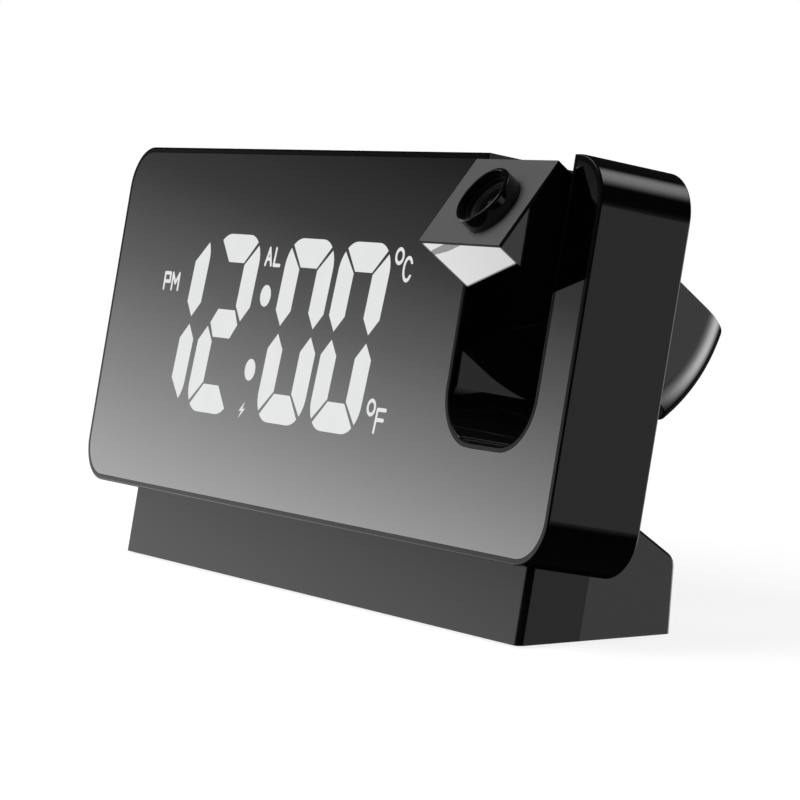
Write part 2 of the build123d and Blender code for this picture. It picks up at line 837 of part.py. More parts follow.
def arm_mirror_outline(grow):
    """Arm's mirror plate in the front view, grown at its sides and lower end."""
    half = arm_half - arm_rim + grow
    end = mirror_end + grow
    plate_face = Pos(0, (cap_under - end) / 2) * Rectangle(2 * half, cap_under + end)
    low = plate_face.vertices().sort_by(Axis.Y)[0:2]
    return fillet(low, tail_corner - arm_rim + grow)


arm_shell -= through(arm_mirror_outline(0), -face_half, arm_mirror_thickness)
pieces["arm_mirror"] = arm_place * through(arm_mirror_outline(-seat_gap), -face_half, arm_mirror_thickness)

pin_hole = Rot(Y=90) * rod(pin_radius + screw_fit, -arm_half, arm_half)
arm_boss_places = ((-arm_boss_left, arm_boss_rise), (-arm_boss_left, tail_boss_inset - tail_radius))
for x, z in arm_boss_places:
    arm_shell += Pos(x, 0, z) * to_rear * rod(boss_radius, inner_front, inner_rear)
arm_shell -= pin_hole
arm_screw_seat = face_half - screw_head_height - head_sink
arm_screw_length = arm_screw_seat - inner_front - screw_head_height
for x, z in arm_boss_places:
    arm_shell -= Pos(x, arm_screw_seat, z) * to_rear * screw_hole(arm_screw_length)
front_half = block((-arm_half, arm_half), (-face_half, 0), (-tail_radius, cap_under))
pieces["arm_front_shell"] = arm_place * (arm_shell & front_half)
pieces["arm_rear_shell"] = arm_place * (arm_shell - front_half)
pieces["arm_screws"] = arm_place * group(
    Pos(x, arm_screw_seat, z) * to_rear * screw(arm_screw_length) for x, z in arm_boss_places
)

# Pivot: hollow pins with a flange inside the arm, washers in the side gaps, clips inside the case
pin = rod(flange_radius, inner_half - flange_thickness, inner_half) + rod(pin_radius, inner_half, pin_end)
groove_end = clip_start + clip_thickness
pin -= tube(pin_radius, pin_radius - clip_groove, clip_start, groove_end)
pin -= rod(pin_bore, inner_half - flange_thickness, pin_end)
washer = tube(washer_radius, pin_radius + screw_fit, arm_half, arm_half + arm_gap - running_gap)
clip = tube(clip_radius, pin_radius - clip_groove + screw_fit, clip_start, groove_end)
both_sides = (Rot(Y=90), Rot(Y=-90))
pieces["pivot_pins"] = arm_place * group(side * pin for side in both_sides)
pieces["friction_washers"] = arm_place * group(side * washer for side in both_sides)
pieces["pivot_clips"] = arm_place * group(side * clip for side in both_sides)

# Cap with the lens sleeve, focus ring and lens carrier
sleeve_radius = ring_radius - ring_wall - pin_clearance
carrier_radius = sleeve_radius - sleeve_wall - pin_clearance
lens_radius = carrier_radius - carrier_wall / 2
lens_x = inner_half - flange_thickness - tube_side_gap - tube_half_width
lens_y = inner_front + sleeve_radius + sleeve_side_gap
lens_axis = Pos(lens_x, lens_y, arm_reach)
lens_place = arm_place * lens_axis
cap = block((-arm_half, arm_half), (-face_half, face_half), (cap_under, arm_reach))
cap += lens_axis * rod(sleeve_radius, -sleeve_depth, sleeve_rise)
cap -= lens_axis * rod(sleeve_radius - sleeve_wall, -sleeve_depth, sleeve_rise)
pieces["arm_cap"] = arm_place * cap
ring = tube(ring_radius, ring_radius - ring_wall, running_gap, ring_height)
ring = fillet(ring.edges().group_by(Axis.Z)[-1].sort_by(SortBy.RADIUS)[-1], ring_round)
ring = fillet(ring.edges().group_by(Axis.Z)[-1].sort_by(SortBy.RADIUS)[0], ring_inner_round)
pieces["focus_ring"] = lens_place * ring

carrier_low = carrier_rise - carrier_length
carrier = tube(carrier_radius, carrier_radius - carrier_wall, carrier_low, carrier_rise)
carrier -= rod(lens_radius, carrier_rise - lens_edge - lens_seat, carrier_rise)
pieces["lens_carrier"] = lens_place * carrier


def bulged_disc(radius, edge, bulge):
    """Round lens on Z = 0 with a flat back and a domed front."""
    sphere_radius = (radius**2 + bulge**2) / (2 * bulge)
    dome = Pos(0, 0, edge + bulge - sphere_radius) * Sphere(sphere_radius)
    return rod(radius, 0, edge) + (dome & rod(radius, edge, edge + bulge))


lens = bulged_disc(lens_radius, lens_edge, lens_bulge)
pieces["projection_lens"] = lens_place * Pos(0, 0, carrier_rise - lens_edge - lens_seat) * lens

# Optics below the lens: tube held between the arm's halves, slide, condenser, light and its board
tube_top = arm_reach - sleeve_depth - focus_travel - running_gap
tube_depth = (inner_front - lens_y, inner_rear - seat_gap - lens_y)
tube_box = ((-tube_half_width, tube_half_width), tube_depth, (tube_bottom, tube_top))
optics = block(*tube_box) - rod(tube_bore, tube_bottom, tube_top)
optics -= rod(condenser_radius + screw_fit, tube_bottom, condenser_level)
lcd_half = tube_half_width - arm_wall
lcd = block((-lcd_half, lcd_half), (-lcd_half, lcd_half), (tube_top - lcd_thickness, tube_top))
optics -= lcd
optics_place = arm_place * Pos(lens_x, lens_y, 0)
pieces["optics_tube"] = optics_place * optics
pieces["lcd_slide"] = optics_place * lcd
condenser = Rot(X=180) * bulged_disc(condenser_radius, condenser_edge, condenser_bulge)
pieces["condenser_lens"] = optics_place * Pos(0, 0, condenser_level) * condenser
led_board_low = tube_bottom - projector_board_thickness
pieces["projector_board"] = optics_place * block(tube_box[0], tube_box[1], (led_board_low, tube_bottom))
led = Pos(0, 0, tube_bottom + projector_led_size[2] / 2) * Box(*projector_led_size)
pieces["projector_led"] = optics_place * led

# The origin is on the desk under the middle of the whole clock
bounds = group(pieces.values()).bounding_box()
middle = bounds.center()
to_origin = Pos(-middle.X, -middle.Y, -bounds.min.Z)
os.makedirs("parts", exist_ok=True)
for name, piece in pieces.items():
    export_step(to_origin * piece, f"parts/{name}.step")

pivot = (to_origin * arm_place).position
lens_point = (to_origin * lens_place).position
print("size", bounds.size)
print("shift", -middle.X, -middle.Y, -bounds.min.Z)
print("pivot", pivot.X, pivot.Y, pivot.Z)
print("lens axis point", lens_point.X, lens_point.Y, lens_point.Z)
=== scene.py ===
"""Looks of the desk clock: a finish for every piece, printed marks on the buttons, studio and camera.

Lengths are metres and angles degrees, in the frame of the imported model: X right, Y back, Z up.
"""
import json
from math import pi, radians, sin

import bpy
from mathutils import Matrix, Vector


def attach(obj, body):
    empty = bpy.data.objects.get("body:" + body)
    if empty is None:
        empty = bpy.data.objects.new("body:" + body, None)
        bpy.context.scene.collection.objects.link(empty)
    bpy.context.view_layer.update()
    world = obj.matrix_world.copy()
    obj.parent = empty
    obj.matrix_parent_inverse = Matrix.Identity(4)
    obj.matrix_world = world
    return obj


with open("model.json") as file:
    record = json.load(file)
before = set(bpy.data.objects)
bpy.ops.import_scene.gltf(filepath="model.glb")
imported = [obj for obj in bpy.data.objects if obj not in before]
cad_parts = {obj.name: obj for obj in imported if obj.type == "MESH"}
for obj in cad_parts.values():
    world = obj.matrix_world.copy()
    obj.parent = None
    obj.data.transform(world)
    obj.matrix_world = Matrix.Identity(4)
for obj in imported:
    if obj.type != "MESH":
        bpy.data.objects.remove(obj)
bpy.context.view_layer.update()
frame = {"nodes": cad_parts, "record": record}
joints = frame["record"]["behaviour"]["joints"]

# Turns
right_angle = 90.0
half_turn = 180.0
full_turn = 360.0

# Camera of the photograph
camera_azimuth = 59.97
camera_elevation = 4.49
camera_roll = 0.196
camera_distance = 0.65997
camera_lens = 157.3
sensor_width = 36.0
camera_aim = Vector((0.03871, -0.01971, 0.04186))

# Studio walls in reflections: a white one in front at the left, a dimmer one behind, dark elsewhere.
# The stops give the glow at each elevation, from the white horizon to the dark ceiling.
wall_stops = (
    (2.6, 1.0), (3.6, 0.84), (5.2, 0.52), (6.9, 0.25), (8.5, 0.09), (10.5, 0.02), (13.0, 0.004),
)
front_wall = (-0.79, -0.61, 0.0)
front_wall_edge = (0.89, 0.95)
back_wall = (0.35, 0.94, 0.0)
back_wall_edge = (0.35, 0.75)
back_wall_share = 0.4
dark_wall_glow = 0.008

# Floor: white to the camera, with the clock's shadow
floor_size = 12.0
floor_tone = (0.3, 0.3, 0.3)
floor_lift = 0.76
floor_fade = (0.35, 0.8)

# Floor in reflections: lit in front at the left, on the right and brightest behind.
# The stops give the glow at each heading, counted from X towards Y; the dips end it below the horizon.
floor_stops = (
    (-180.0, 0.3), (-172.0, 1.0), (-167.0, 1.75), (-159.0, 1.75), (-154.0, 1.2), (-148.0, 0.92),
    (-130.0, 0.9), (-118.0, 0.3), (-105.0, 0.02), (-4.0, 0.02), (2.0, 0.52), (45.0, 0.54),
    (50.0, 0.85), (56.0, 1.4), (64.0, 2.7), (70.0, 3.8), (80.0, 4.0), (88.0, 2.8),
    (96.0, 1.2), (106.0, 0.02), (180.0, 0.02),
)
floor_right = (0.95, 0.30, 0.0)
floor_right_edge = (0.925, 0.88)
floor_right_dip = (0.32, 0.14)
floor_dip = (0.60, 0.30)

# Lamps and cards; a card spans two directions
key_direction = (-0.25, -0.70, 0.67)
key_strength = 2.0
lamp_spread = 40.0
fill_direction = (-0.20, 0.88, 0.42)
fill_strength = 3.0
card_distance = 0.9
card_half = 0.5
card_soft_edge = 0.45
high_card_span = ((-0.19, 0.65, 0.73), (0.56, 0.58, 0.59))
high_card_height = 0.27
high_card_glow = 2.5
low_card_span = ((-0.35, 0.85, 0.39), (0.20, 0.88, 0.43))
low_card_height = 0.14
low_card_glow = 1.3
left_card_span = ((-0.12, -0.62, 0.78), (-0.84, -0.20, 0.50))
left_card_height = 0.36
left_card_glow = 2.4

# Tones of the finishes
white = (1.0, 1.0, 1.0)
deep_black = (0.0045, 0.0045, 0.0050)
dust_grey = (0.10, 0.10, 0.10)
mirror_grey = (0.345, 0.345, 0.352)
arm_mirror_grey = (0.93, 0.93, 0.94)
# Painted sheen: the arm cap is black plastic, and these greys on its end face stand in for the light it
# reflects
painted_sheen_low = (0.130, 0.130, 0.132)
painted_sheen_high = (0.139, 0.139, 0.141)
steel_low = (0.52, 0.52, 0.53)
steel_high = (0.66, 0.66, 0.66)
lens_tone = (0.90, 0.94, 0.96)
slide_tone = (0.35, 0.39, 0.41)
unlit_tone = (0.03, 0.03, 0.03)
lit_tone = (0.74, 0.745, 0.75)
mirrored_lit_share = 0.14
tone_dip = 0.97

# Gloss and grain of the finishes
gloss_roughness = 0.02
gloss_ior = 1.5
satin_roughness = 0.04
satin_ior = 1.76
panel_roughness = (0.02, 0.04)
panel_coat = 1.0
arm_mirror_roughness = (0.02, 0.03)
arm_mirror_coat = 0.0
lens_roughness = 0.004
slide_roughness = 0.01
steel_roughness = (0.18, 0.34)
steel_grain = (5200.0, 0.15)
cap_roughness = (0.42, 0.50)
cap_specular = 0.2
figure_roughness = 0.35
glass_ior = 1.5
coat_ior = 1.5
black_gloss_spread = 2.0
plastic_spread = (0.85, 1.15)
glass_spread = 3.0
grain_depth = 0.0001
dust_strength = 0.08
cap_edge = (0.00010, 0.00004)
cap_sleeve = (0.0004, 0.0002)

# Moulded plastics: darker and lighter tone, roughness, scale of the grain and its strength
plastics = {
    "diffuser_white": ((0.83, 0.83, 0.82), (0.87, 0.87, 0.86), 0.5, 1800.0, 0.1),
    "white_box": ((0.77, 0.77, 0.77), (0.82, 0.82, 0.82), 0.45, 1500.0, 0.1),
    "led_white": ((0.86, 0.84, 0.70), (0.90, 0.88, 0.76), 0.35, 2200.0, 0.1),
    "board_green": ((0.015, 0.13, 0.055), (0.025, 0.18, 0.08), 0.35, 1400.0, 0.1),
    "chip_black": ((0.026, 0.026, 0.026), (0.034, 0.034, 0.034), 0.55, 2000.0, 0.2),
    "black_matte": ((0.016, 0.016, 0.017), (0.024, 0.024, 0.025), 0.5, 1600.0, 0.25),
    "black_rubber": ((0.021, 0.021, 0.021), (0.030, 0.030, 0.030), 0.75, 900.0, 0.4),
    "battery_grey": ((0.40, 0.42, 0.45), (0.48, 0.50, 0.53), 0.3, 500.0, 0.3),
    "washer_white": ((0.67, 0.67, 0.65), (0.72, 0.72, 0.70), 0.4, 1200.0, 0.1),
    "mark_white": ((0.60, 0.60, 0.60), (0.66, 0.66, 0.66), 0.45, 2600.0, 0.05),
}

# Marks printed on the rear buttons
mark_height = 0.00008
mark_bevel = 0.00003
mark_bevel_steps = 2
mark_smoothing = 40.0
mark_reach = 0.0012
mark_bar = (0.0022, 0.0004)
mark_bar_step = 0.0008
mark_dot = 0.0004
mark_dot_sides = 16
mark_ring = 0.0013
mark_ring_wall = 0.0003
mark_ring_sides = 32
mark_beam = (0.0008, 0.0024, 0.0018)
arrow_sides = 3
face_tolerance = 0.00003

# Sockets of the mixing node, where names repeat
mix_share = 0
value_ends = (2, 3)
value_result = 0
colour_ends = (6, 7)
colour_result = 2


def connect(tree, node, inputs):
    """Gives a node's inputs their links from output sockets or their plain values."""
    for name, value in inputs.items():
        if isinstance(value, bpy.types.NodeSocket):
            tree.links.new(value, node.inputs[name])
        else:
            node.inputs[name].default_value = value


def add_node(tree, kind, inputs=None, **properties):
    """New node with its properties set and its inputs connected."""
    node = tree.nodes.new(kind)
    for name, value in properties.items():
        setattr(node, name, value)
    connect(tree, node, inputs or {})
    return node


def colour(tone, strength=1.0):
    """Opaque colour of a tone, brightened by a factor."""
    return (*(strength * part for part in tone), 1.0)


def calculate(tree, operation, first, second):
    """Result of an operation on two values."""
    return add_node(tree, "ShaderNodeMath", {0: first, 1: second}, operation=operation).outputs[0]


def product(tree, first, second):
    """Two values multiplied."""
    return calculate(tree, "MULTIPLY", first, second)


def larger(tree, first, second):
    """The larger of two values."""
    return calculate(tree, "MAXIMUM", first, second)


def vector_step(tree, operation, *vectors):
    """Node with an operation on one or two vectors."""
    return add_node(tree, "ShaderNodeVectorMath", dict(enumerate(vectors)), operation=operation)


def mixed_colour(tree, mask, low, high):
    """Colour that goes from one to another as a mask rises."""
    ends = dict(zip(colour_ends, (low, high)))
    mix = add_node(tree, "ShaderNodeMix", {mix_share: mask, **ends}, data_type="RGBA")
    return mix.outputs[colour_result]


def mixed_value(tree, mask, low, high):
    """Value that goes from one to another as a mask rises."""
    ends = dict(zip(value_ends, (low, high)))
    mix = add_node(tree, "ShaderNodeMix", {mix_share: mask, **ends}, data_type="FLOAT")
    return mix.outputs[value_result]


def soft_step(tree, source, edge):
    """Mask that rises smoothly from 0 to 1 between two values."""
    reach = {"Value": source, "From Min": edge[0], "From Max": edge[1]}
    step = add_node(tree, "ShaderNodeMapRange", reach, interpolation_type="SMOOTHSTEP")
    return step.outputs["Result"]


def object_place(tree):
    """Place on the piece itself."""
    return add_node(tree, "ShaderNodeTexCoord").outputs["Object"]


# Shared effects
def start_group(name, inputs, output):
    """Empty node group with named inputs and one output, and its two end nodes."""
    tree = bpy.data.node_groups.new(name, "ShaderNodeTree")
    for title, value in inputs.items():
        socket = tree.interface.new_socket(title, in_out="INPUT", socket_type="NodeSocketFloat")
        socket.default_value = value
    tree.interface.new_socket(output, in_out="OUTPUT", socket_type="NodeSocketFloat")
    return tree, tree.nodes.new("NodeGroupInput").outputs, tree.nodes.new("NodeGroupOutput")


def make_cloudy_tone():
    """Slow clouds between a low and a high value."""
    tree, start, end = start_group("cloudy_tone", {"Scale": 40.0, "Low": 0.0, "High": 1.0}, "Value")
    pattern = {"Vector": object_place(tree), "Scale": start["Scale"], "Detail": 3.0, "Roughness": 0.55}
    clouds = add_node(tree, "ShaderNodeTexNoise", pattern)
    reach = {"From Min": 0.32, "From Max": 0.68, "To Min": start["Low"], "To Max": start["High"]}
    spread = add_node(tree, "ShaderNodeMapRange", {"Value": clouds.outputs[0], **reach})
    connect(tree, end, {"Value": spread.outputs["Result"]})
    return tree


def make_fine_grain():
    """Fine moulded grain as a height."""
    tree, start, end = start_group("fine_grain", {"Scale": 2500.0}, "Height")
    pattern = {"Vector": object_place(tree), "Scale": start["Scale"], "Detail": 2.0, "Roughness": 0.6}
    grain = add_node(tree, "ShaderNodeTexNoise", pattern)
    connect(tree, end, {"Height": grain.outputs[0]})
    return tree


def make_wipe_marks():
    """Faint hairlines left by wiping, long along X, as a mask."""
    values = {"Scale": 60.0, "Stretch": 0.03, "Strength": 1.0}
    tree, start, end = start_group("wipe_marks", values, "Mask")
    stretch = add_node(tree, "ShaderNodeCombineXYZ", {"X": start["Stretch"], "Y": 1.0, "Z": 1.0})
    squeezed = vector_step(tree, "MULTIPLY", object_place(tree), stretch.outputs[0]).outputs[0]
    pattern = {"Vector": squeezed, "Scale": start["Scale"], "Detail": 4.0, "Roughness": 0.7}
    lines = add_node(tree, "ShaderNodeTexNoise", pattern)
    reach = {"From Min": 0.60, "From Max": 0.78}
    thin = add_node(tree, "ShaderNodeMapRange", {"Value": lines.outputs[0], **reach})
    connect(tree, end, {"Mask": product(tree, thin.outputs["Result"], start["Strength"])})
    return tree


def make_dust_specks():
    """Sparse tiny specks of dust as a mask."""
    values = {"Scale": 220.0, "Size": 0.06, "Strength": 1.0}
    tree, start, end = start_group("dust_specks", values, "Mask")
    cells = add_node(tree, "ShaderNodeTexVoronoi", {"Vector": object_place(tree), "Scale": start["Scale"]})
    speck = calculate(tree, "LESS_THAN", cells.outputs["Distance"], start["Size"])
    connect(tree, end, {"Mask": product(tree, speck, start["Strength"])})
    return tree


cloudy_tone = make_cloudy_tone()
fine_grain = make_fine_grain()
wipe_marks = make_wipe_marks()
dust_specks = make_dust_specks()


def use_group(tree, group, inputs):
    """Result of a shared effect, placed in a material with its own values."""
    return add_node(tree, "ShaderNodeGroup", inputs, node_tree=group).outputs[0]


def start_material(name, inputs):
    """New material with one surface shader, whose plain values are given."""
    material = bpy.data.materials.new(name)
    material.use_nodes = True
    tree = material.node_tree
    surface = tree.nodes["Principled BSDF"]
    connect(tree, surface, inputs)
    return material, tree, surface


def grain_bump(tree, scale, strength):
    """Surface normal of a fine grain."""
    height = use_group(tree, fine_grain, {"Scale": scale})
    bump = {"Height": height, "Strength": strength, "Distance": grain_depth}
    return add_node(tree, "ShaderNodeBump", bump).outputs["Normal"]


# Finishes
def polished_black(name, roughness, ior):
    """Polished black plastic: cloudy gloss, faint wipe marks and a few specks of dust."""
    material, tree, surface = start_material(name, {"IOR": ior})
    gloss = {"Scale": 60.0, "Low": roughness, "High": black_gloss_spread * roughness}
    clouds = use_group(tree, cloudy_tone, gloss)
    wipes = use_group(tree, wipe_marks, {"Scale": 900.0, "Strength": roughness})
    dust = use_group(tree, dust_specks, {"Strength": dust_strength})
    connect(tree, surface, {
        "Base Color": mixed_colour(tree, dust, colour(deep_black), colour(dust_grey)),
        "Roughness": calculate(tree, "ADD", clouds, wipes),
    })
    return material


def grained_plastic(name, low, high, roughness, grain, strength):
    """Moulded plastic: a cloudy tone under a fine grain."""
    material, tree, surface = start_material(name, {})
    clouds = use_group(tree, cloudy_tone, {"Scale": 90.0})
    low_gloss, high_gloss = (share * roughness for share in plastic_spread)
    gloss = {"Scale": 150.0, "Low": low_gloss, "High": high_gloss}
    connect(tree, surface, {
        "Base Color": mixed_colour(tree, clouds, colour(low), colour(high)),
        "Roughness": use_group(tree, cloudy_tone, gloss),
        "Normal": grain_bump(tree, grain, strength),
    })
    return material


def mirror_sheet(name, tone, roughness, coat):
    """Mirror-coated acrylic: a metal sheen under a clear face, with a faint haze of wiping."""
    low, high = roughness
    plain = {"Metallic": 1.0, "Coat Weight": coat, "Coat IOR": coat_ior}
    material, tree, surface = start_material(name, plain)
    haze = use_group(tree, cloudy_tone, {"Scale": 35.0, "Low": low, "High": high})
    wipes = use_group(tree, wipe_marks, {"Scale": 700.0, "Strength": high - low})
    tint = use_group(tree, cloudy_tone, {"Scale": 18.0})
    connect(tree, surface, {
        "Base Color": mixed_colour(tree, tint, colour(tone, tone_dip), colour(tone)),
        "Roughness": calculate(tree, "ADD", haze, wipes),
    })
    return material


def lit_figures():
    """Light that shines through the front sheet: near white, slightly uneven, weaker in reflections."""
    plain = {"Base Color": colour(unlit_tone), "Roughness": figure_roughness, "Emission Strength": 1.0}
    material, tree, surface = start_material("lit_white", plain)
    clouds = use_group(tree, cloudy_tone, {"Scale": 160.0})
    mirrored = add_node(tree, "ShaderNodeLightPath").outputs["Is Glossy Ray"]
    glow = mixed_colour(tree, clouds, colour(lit_tone, tone_dip), colour(lit_tone))
    fade = mixed_colour(tree, mirrored, glow, colour(lit_tone, mirrored_lit_share))
    connect(tree, surface, {"Emission Color": fade})
    return material


def clear_glass(name, tone, roughness):
    """Clear glass with a faint cloudiness on its polish."""
    plain = {"Base Color": colour(tone), "IOR": glass_ior, "Transmission Weight": 1.0}
    material, tree, surface = start_material(name, plain)
    polish = {"Scale": 400.0, "Low": roughness, "High": glass_spread * roughness}
    connect(tree, surface, {"Roughness": use_group(tree, cloudy_tone, polish)})
    return material


def plated_steel():
    """Plated steel: a bright metal with a turned, slightly uneven brushing."""
    material, tree, surface = start_material("bright_steel", {"Metallic": 1.0})
    low, high = steel_roughness
    clouds = use_group(tree, cloudy_tone, {"Scale": 900.0})
    connect(tree, surface, {
        "Base Color": mixed_colour(tree, clouds, colour(steel_low), colour(steel_high)),
        "Roughness": use_group(tree, cloudy_tone, {"Scale": 2600.0, "Low": low, "High": high}),
        "Normal": grain_bump(tree, *steel_grain),
    })
    return material


def cap_with_painted_sheen():
    """Painted sheen: a satin grey base colour on the black cap's end face stands in for the light it
    reflects; the cap's edges and sleeve stay black.
    """
    lens_joint = next(row for row in joints if row["name"] == "focus_turn")
    axis = Vector(lens_joint["axis"])
    face_level = axis.dot(Vector(lens_joint["pos_m"]))
    material, tree, surface = start_material("arm_cap_grey", {"Specular IOR Level": cap_specular})
    level = vector_step(tree, "DOT_PRODUCT", object_place(tree), axis).outputs["Value"]
    above_edge = soft_step(tree, level, [face_level - depth for depth in cap_edge])
    below_sleeve = soft_step(tree, level, [face_level + rise for rise in cap_sleeve])
    clouds = use_group(tree, cloudy_tone, {"Scale": 120.0})
    # Painted sheen: grey base colour on the end face in place of the light the black cap reflects
    grey = mixed_colour(tree, clouds, colour(painted_sheen_low), colour(painted_sheen_high))
    end_face = product(tree, above_edge, below_sleeve)
    low, high = cap_roughness
    connect(tree, surface, {
        "Base Color": mixed_colour(tree, end_face, colour(deep_black), grey),
        "Roughness": use_group(tree, cloudy_tone, {"Scale": 300.0, "Low": low, "High": high}),
    })
    return material


finishes = {name: grained_plastic(name, *values) for name, values in plastics.items()}
finishes["black_gloss"] = polished_black("black_gloss", gloss_roughness, gloss_ior)
finishes["satin_black"] = polished_black("satin_black", satin_roughness, satin_ior)
finishes["half_mirror"] = mirror_sheet("half_mirror", mirror_grey, panel_roughness, panel_coat)
finishes["arm_mirror"] = mirror_sheet("arm_mirror", arm_mirror_grey, arm_mirror_roughness, arm_mirror_coat)
finishes["arm_cap_grey"] = cap_with_painted_sheen()
finishes["lit_white"] = lit_figures()
finishes["bright_steel"] = plated_steel()
finishes["lens_glass"] = clear_glass("lens_glass", lens_tone, lens_roughness)
finishes["slide_glass"] = clear_glass("slide_glass", slide_tone, slide_roughness)

# Pieces whose finish differs from that of their slot
own_finishes = {
    "base_rear": "satin_black",
    "arm_front_shell": "satin_black",
    "arm_rear_shell": "satin_black",
    "rear_cover": "black_matte",
}


def paint_nodes():
    """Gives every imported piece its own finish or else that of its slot."""
    for row in frame["record"]["subparts"]:
        finish = own_finishes.get(row["node"], row["material_slot"])
        for slot in frame["nodes"][row["node"]].material_slots:
            slot.material = finishes[finish]


# Marks on the rear buttons
def flat_shape(sides, reach, turn=0.0):
    """Flat even-sided face about the origin, turned about Z."""
    bpy.ops.mesh.primitive_circle_add(
        vertices=sides, radius=reach, fill_type="NGON", rotation=(0.0, 0.0, turn)
    )
    bpy.ops.object.transform_apply(location=False, rotation=True, scale=False)
    return bpy.context.object


def flat_bar(width, height, rise):
    """Flat bar about the Y axis at a height."""
    bpy.ops.mesh.primitive_plane_add(size=1.0)
    bar = bpy.context.object
    bar.scale = (width, height, 1.0)
    bar.location = (0.0, rise, 0.0)
    bpy.ops.object.transform_apply(location=True, rotation=False, scale=True)
    return bar


def join_shapes(shapes):
    """Several flat shapes made one object."""
    bpy.ops.object.select_all(action="DESELECT")
    for shape in shapes:
        shape.select_set(True)
    bpy.context.view_layer.objects.active = shapes[0]
    bpy.ops.object.join()
    return shapes[0]


def ring_shape(reach, wall):
    """Flat ring: a round face with its middle inset and taken out."""
    ring = flat_shape(mark_ring_sides, reach)
    bpy.ops.object.mode_set(mode="EDIT")
    bpy.ops.mesh.select_all(action="SELECT")
    bpy.ops.mesh.inset(thickness=wall)
    bpy.ops.mesh.delete(type="FACE")
    bpy.ops.object.mode_set(mode="OBJECT")
    return ring


def beam_shape():
    """Flat beam of light that widens upwards."""
    narrow, wide, height = mark_beam
    beam = flat_bar(narrow, height, 0.0)
    bpy.ops.object.mode_set(mode="EDIT")
    bpy.ops.mesh.select_mode(type="VERT")
    bpy.ops.mesh.select_all(action="DESELECT")
    bpy.ops.object.mode_set(mode="OBJECT")
    for corner in beam.data.vertices:
        corner.select = corner.co.y > 0.0
    bpy.ops.object.mode_set(mode="EDIT")
    bpy.ops.transform.resize(value=(wide / narrow, 1.0, 1.0), center_override=(0.0, 0.0, 0.0))
    bpy.ops.object.mode_set(mode="OBJECT")
    return beam


def button_face(node):
    """Frame on the middle of a rear button's outer face, upright and facing out."""
    inward = next(Vector(row["axis"]) for row in joints if row["child"] == node)
    outward = -inward.normalized()
    spots = [corner.co.copy() for corner in frame["nodes"][node].data.vertices]
    level = max(spot.dot(outward) for spot in spots)
    face = [spot for spot in spots if level - spot.dot(outward) < face_tolerance]
    low = Vector(min(spot[axis] for spot in face) for axis in range(3))
    high = Vector(max(spot[axis] for spot in face) for axis in range(3))
    right = Vector((-1.0, 0.0, 0.0))
    turn = Matrix((right, outward.cross(right), outward)).transposed()
    return Matrix.Translation((low + high) / 2.0) @ turn.to_4x4()


def print_mark(node, shape):
    """Raises a flat shape into a printed mark and sets it on a button's face."""
    shape.name = node.replace("button", "mark")
    shape.data.name = shape.name
    bpy.ops.object.select_all(action="DESELECT")
    shape.select_set(True)
    bpy.context.view_layer.objects.active = shape
    bpy.ops.object.mode_set(mode="EDIT")
    bpy.ops.mesh.select_all(action="SELECT")
    bpy.ops.mesh.normals_make_consistent(inside=False)
    bpy.ops.mesh.extrude_region_move(TRANSFORM_OT_translate={"value": (0.0, 0.0, mark_height)})
    bpy.ops.mesh.select_all(action="SELECT")
    bpy.ops.mesh.normals_make_consistent(inside=False)
    bpy.ops.object.mode_set(mode="OBJECT")
    edge = shape.modifiers.new("edge", "BEVEL")
    edge.width = mark_bevel
    edge.segments = mark_bevel_steps
    bpy.ops.object.modifier_apply(modifier=edge.name)
    shape.matrix_world = button_face(node)
    bpy.ops.object.transform_apply(location=True, rotation=True, scale=True)
    bpy.ops.object.shade_smooth_by_angle(angle=radians(mark_smoothing))
    shape.data.materials.append(finishes["mark_white"])
    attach(shape, node)


def add_button_marks():
    """A plain mark on each rear button: lines, a ring with a dot, two arrows and a beam."""
    lines = [flat_bar(*mark_bar, step * mark_bar_step) for step in (-1, 0, 1)]
    print_mark("mode_button", join_shapes(lines))
    ring = ring_shape(mark_ring, mark_ring_wall)
    print_mark("alarm_button", join_shapes([ring, flat_shape(mark_dot_sides, mark_dot)]))
    print_mark("up_button", flat_shape(arrow_sides, mark_reach))
    print_mark("down_button", flat_shape(arrow_sides, mark_reach, pi))
    print_mark("projector_button", beam_shape())


# Studio
def start_stage(name):
    """New material with no nodes, for the floor or a card."""
    material = bpy.data.materials.new(name)
    material.use_nodes = True
    material.node_tree.nodes.clear()
    return material, material.node_tree


def ramp_of(tree, source, stops):
    """Grey glow that follows stops at positions from 0 to 1."""
    ramp = add_node(tree, "ShaderNodeValToRGB", {0: source})
    while len(ramp.color_ramp.elements) < len(stops):
        ramp.color_ramp.elements.new(1.0)
    for stop, (position, glow) in zip(ramp.color_ramp.elements, stops):
        stop.position = position
        stop.color = colour(white, glow)
    return ramp.outputs["Color"]


def heading_towards(tree, sight, side):
    """How far a line of sight heads to one side: 1 straight at it, -1 straight away."""
    level = vector_step(tree, "MULTIPLY", sight, (1.0, 1.0, 0.0)).outputs[0]
    heading = vector_step(tree, "NORMALIZE", level).outputs[0]
    return vector_step(tree, "DOT_PRODUCT", heading, Vector(side).normalized()).outputs["Value"]


def mirrored_walls(tree, sight, rise):
    """Glow of the walls in reflections: by elevation, on the two lit sides."""
    stops = [(sin(radians(elevation)), glow) for elevation, glow in wall_stops]
    front = soft_step(tree, heading_towards(tree, sight, front_wall), front_wall_edge)
    back = soft_step(tree, heading_towards(tree, sight, back_wall), back_wall_edge)
    share = larger(tree, front, product(tree, back, back_wall_share))
    return product(tree, ramp_of(tree, rise, stops), share)


